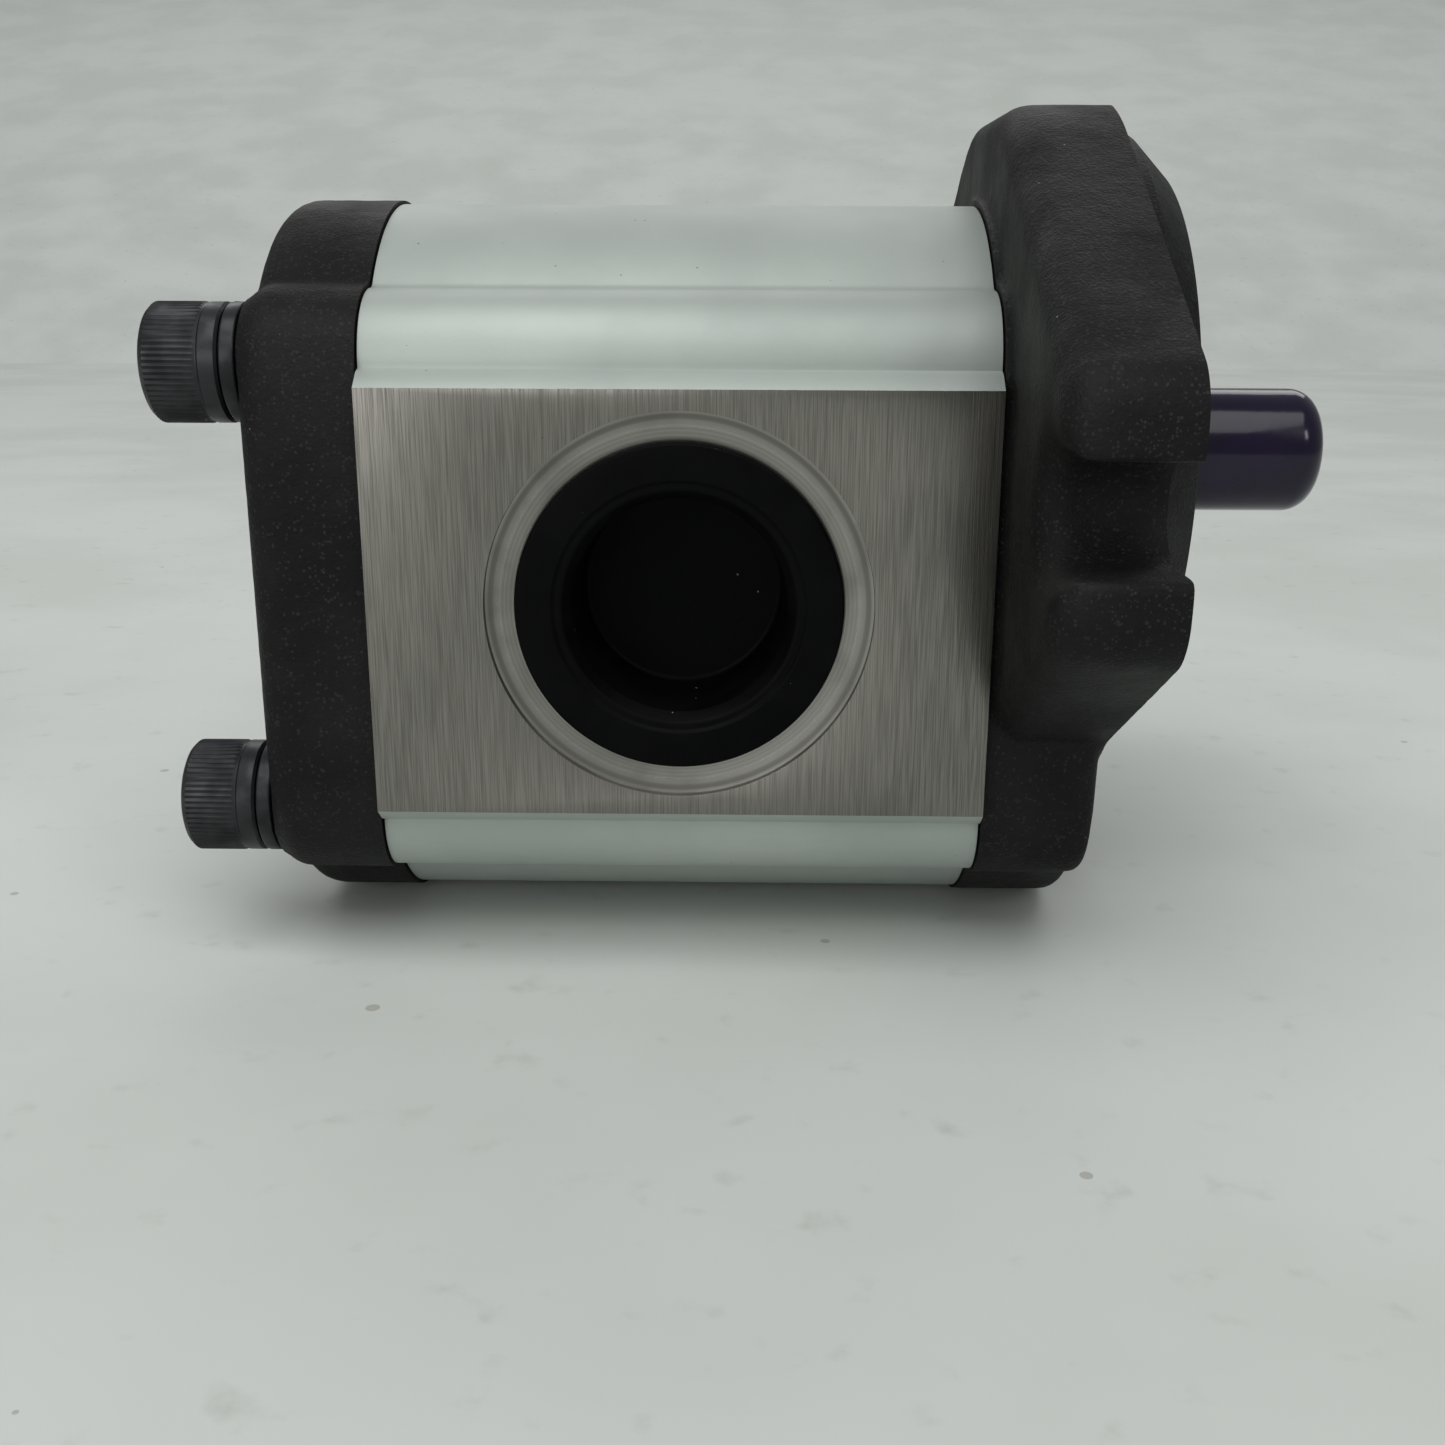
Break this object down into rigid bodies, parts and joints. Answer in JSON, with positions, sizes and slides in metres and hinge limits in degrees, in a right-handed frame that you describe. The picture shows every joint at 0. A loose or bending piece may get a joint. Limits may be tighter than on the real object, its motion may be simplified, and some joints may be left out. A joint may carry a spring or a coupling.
{
  "type": "external gear pump",
  "caption": "External gear pump with an extruded aluminium body, a slotted mounting flange with a pilot, a capped splined shaft and plugged ports on opposite sides.",
  "frame": {"origin": "where the drive shaft's axis crosses the flange's mounting face", "axes": "+X along the shaft out of the drive end; -Y to the suction port's side; +Z from the driven gear towards the drive gear"},
  "size_m": [0.1859, 0.1632, 0.1318],
  "materials": {
    "extrusion": "satin anodised extrusion with machined pads",
    "casting": "black fine-grained casting",
    "steel": "ground steel",
    "alloy": "machined bearing alloy",
    "bronze": "bronze-backed bush",
    "rubber": "oil-proof black rubber",
    "polymer": "off-white polymer",
    "black_oxide": "black oxide, knurled heads",
    "plug_plastic": "black moulded plastic",
    "vinyl": "glossy dark purple vinyl"
  },
  "bodies": {
    "housing": {"body": "extrusion", "front_flange": "casting", "rear_cover": "casting", "retaining_ring": "steel", "shaft_seal": "rubber", "front_bearing_block": "alloy", "front_drive_bush": "bronze", "front_driven_bush": "bronze", "front_pressure_seal": "rubber", "front_backup_ring": "polymer", "front_body_seal": "rubber", "front_dowel_1": "steel", "front_dowel_2": "steel", "rear_bearing_block": "alloy", "rear_drive_bush": "bronze", "rear_driven_bush": "bronze", "rear_pressure_seal": "rubber", "rear_backup_ring": "polymer", "rear_body_seal": "rubber", "rear_dowel_1": "steel", "rear_dowel_2": "steel", "socket_screw_1": "black_oxide", "spring_washer_1": "black_oxide", "socket_screw_2": "black_oxide", "spring_washer_2": "black_oxide", "socket_screw_3": "black_oxide", "spring_washer_3": "black_oxide", "socket_screw_4": "black_oxide", "spring_washer_4": "black_oxide"},
    "drive_shaft": {"drive_gear_shaft": "steel"},
    "driven_shaft": {"driven_gear_shaft": "steel"},
    "cap": {"shaft_cap": "vinyl"},
    "suction_plug": {"suction_port_plug": "plug_plastic"},
    "pressure_plug": {"pressure_port_plug": "plug_plastic"}
  },
  "joints": [
    {"name": "drive_shaft_spin", "type": "hinge", "parent": "housing", "child": "drive_shaft", "pos_m": [0, 0, 0], "axis": [1, 0, 0], "continuous": true},
    {"name": "driven_gear_spin", "type": "hinge", "parent": "housing", "child": "driven_shaft", "pos_m": [0, 0, -0.038], "axis": [1, 0, 0], "continuous": true},
    {"name": "shaft_cap_pull", "type": "slide", "parent": "drive_shaft", "child": "cap", "axis": [1, 0, 0], "range_m": [0, 0.045]},
    {"name": "suction_plug_pull", "type": "slide", "parent": "housing", "child": "suction_plug", "axis": [0, -1, 0], "range_m": [0, 0.035]},
    {"name": "pressure_plug_pull", "type": "slide", "parent": "housing", "child": "pressure_plug", "axis": [0, 1, 0], "range_m": [0, 0.035]}
  ],
  "couplings": [
    {"joint": "driven_gear_spin", "follows": "drive_shaft_spin", "ratio": -1}
  ]
}
